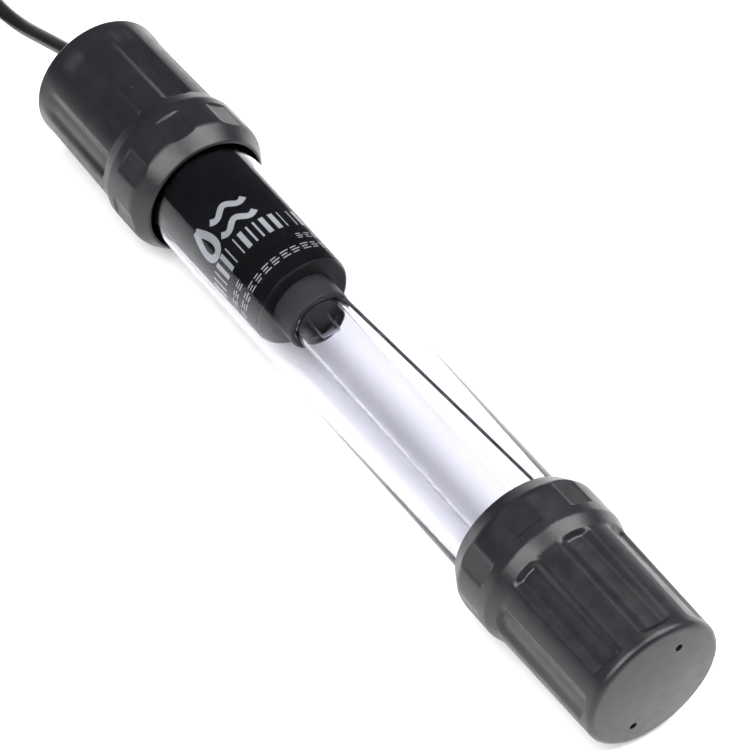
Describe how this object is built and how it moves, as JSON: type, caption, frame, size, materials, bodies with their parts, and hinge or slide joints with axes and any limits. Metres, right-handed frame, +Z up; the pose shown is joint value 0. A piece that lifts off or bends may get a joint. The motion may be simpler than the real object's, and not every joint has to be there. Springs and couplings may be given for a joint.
{
  "type": "uv clarifier",
  "caption": "Tubular in-line ultraviolet water clarifier: clear sleeve with a black labelled ballast section and a slim lamp, closed by fluted black screw caps, with a mains cord.",
  "frame": {"origin": "on the surface the clarifier lies on, under the middle of its length", "axes": "+X along the lamp axis from the cord end to the far end, +Z up, the two cap collars rest on Z = 0"},
  "size_m": [0.356, 0.0761, 0.0408],
  "materials": {
    "cap_plastic": "satin black moulded plastic",
    "clear_glass": "clear drawn glass tube",
    "lamp_glass": "clear quartz glass",
    "plug_plastic": "black moulded plastic",
    "seal_rubber": "soft black silicone rubber",
    "housing_plastic": "smooth black moulded plastic",
    "label_film": "glossy black printed film",
    "holder_plastic": "dark grey moulded plastic",
    "lamp_base_ceramic": "white ceramic",
    "pin_metal": "bright nickel-plated brass",
    "electrode_wire": "drawn metal wire",
    "wire_insulation": "dark grey insulation",
    "board_laminate": "green coated laminate",
    "ferrite": "dark grey pressed ferrite",
    "copper_winding": "varnished copper wire",
    "capacitor_sleeve": "dark blue shrunk sleeve",
    "film_capacitor_case": "dark red dipped case",
    "black_resin": "black moulded resin",
    "resistor_body": "tan lacquered ceramic body",
    "cord_jacket": "soft black cord jacket",
    "plug_moulding": "black moulded plastic"
  },
  "bodies": {
    "root": {"glass_sleeve": "clear_glass", "lamp_tube": "lamp_glass", "upper_plug": "plug_plastic", "lower_plug": "plug_plastic", "upper_sealing_rings": "seal_rubber", "lower_sealing_rings": "seal_rubber", "cord_grommet": "seal_rubber", "lamp_cushion": "seal_rubber", "ballast_housing": "housing_plastic", "label_wrap": "label_film", "lamp_holder": "holder_plastic", "near_lamp_base": "holder_plastic", "far_lamp_base": "lamp_base_ceramic", "near_lamp_pins": "pin_metal", "far_lamp_pins": "pin_metal", "plug_pins": "pin_metal", "lamp_electrodes": "electrode_wire", "return_wire": "wire_insulation", "supply_leads": "wire_insulation", "lamp_leads": "wire_insulation", "circuit_board": "board_laminate", "choke_core": "ferrite", "choke_winding": "copper_winding", "bulk_capacitor": "capacitor_sleeve", "film_capacitor": "film_capacitor_case", "transistors": "black_resin", "diodes": "black_resin", "resistors": "resistor_body", "cord_entry": "cord_jacket", "cord_lead": "cord_jacket", "cord_coil": "cord_jacket", "cord_tail": "cord_jacket", "plug_body": "plug_moulding", "plug_relief": "plug_moulding"},
    "upper_gasket": {"upper_gasket": "seal_rubber"},
    "upper_cap": {"upper_cap": "cap_plastic"},
    "lower_gasket": {"lower_gasket": "seal_rubber"},
    "lower_cap": {"lower_cap": "cap_plastic"}
  },
  "joints": [
    {"name": "upper_gasket_slide", "type": "slide", "parent": "root", "child": "upper_gasket", "axis": [-1, 0, 0], "range_m": [0, 0.006]},
    {"name": "upper_cap_turn", "type": "hinge", "parent": "upper_gasket", "child": "upper_cap", "pos_m": [-0.096, 0, 0.0204], "axis": [-1, 0, 0], "range_deg": [0, 720]},
    {"name": "lower_gasket_slide", "type": "slide", "parent": "root", "child": "lower_gasket", "axis": [1, 0, 0], "range_m": [0, 0.012]},
    {"name": "lower_cap_turn", "type": "hinge", "parent": "lower_gasket", "child": "lower_cap", "pos_m": [0.096, 0, 0.0204], "axis": [1, 0, 0], "range_deg": [0, 1440]}
  ],
  "couplings": [
    {"joint": "upper_gasket_slide", "follows": "upper_cap_turn", "m_per_rad": 0.00047746},
    {"joint": "lower_gasket_slide", "follows": "lower_cap_turn", "m_per_rad": 0.00047746}
  ]
}
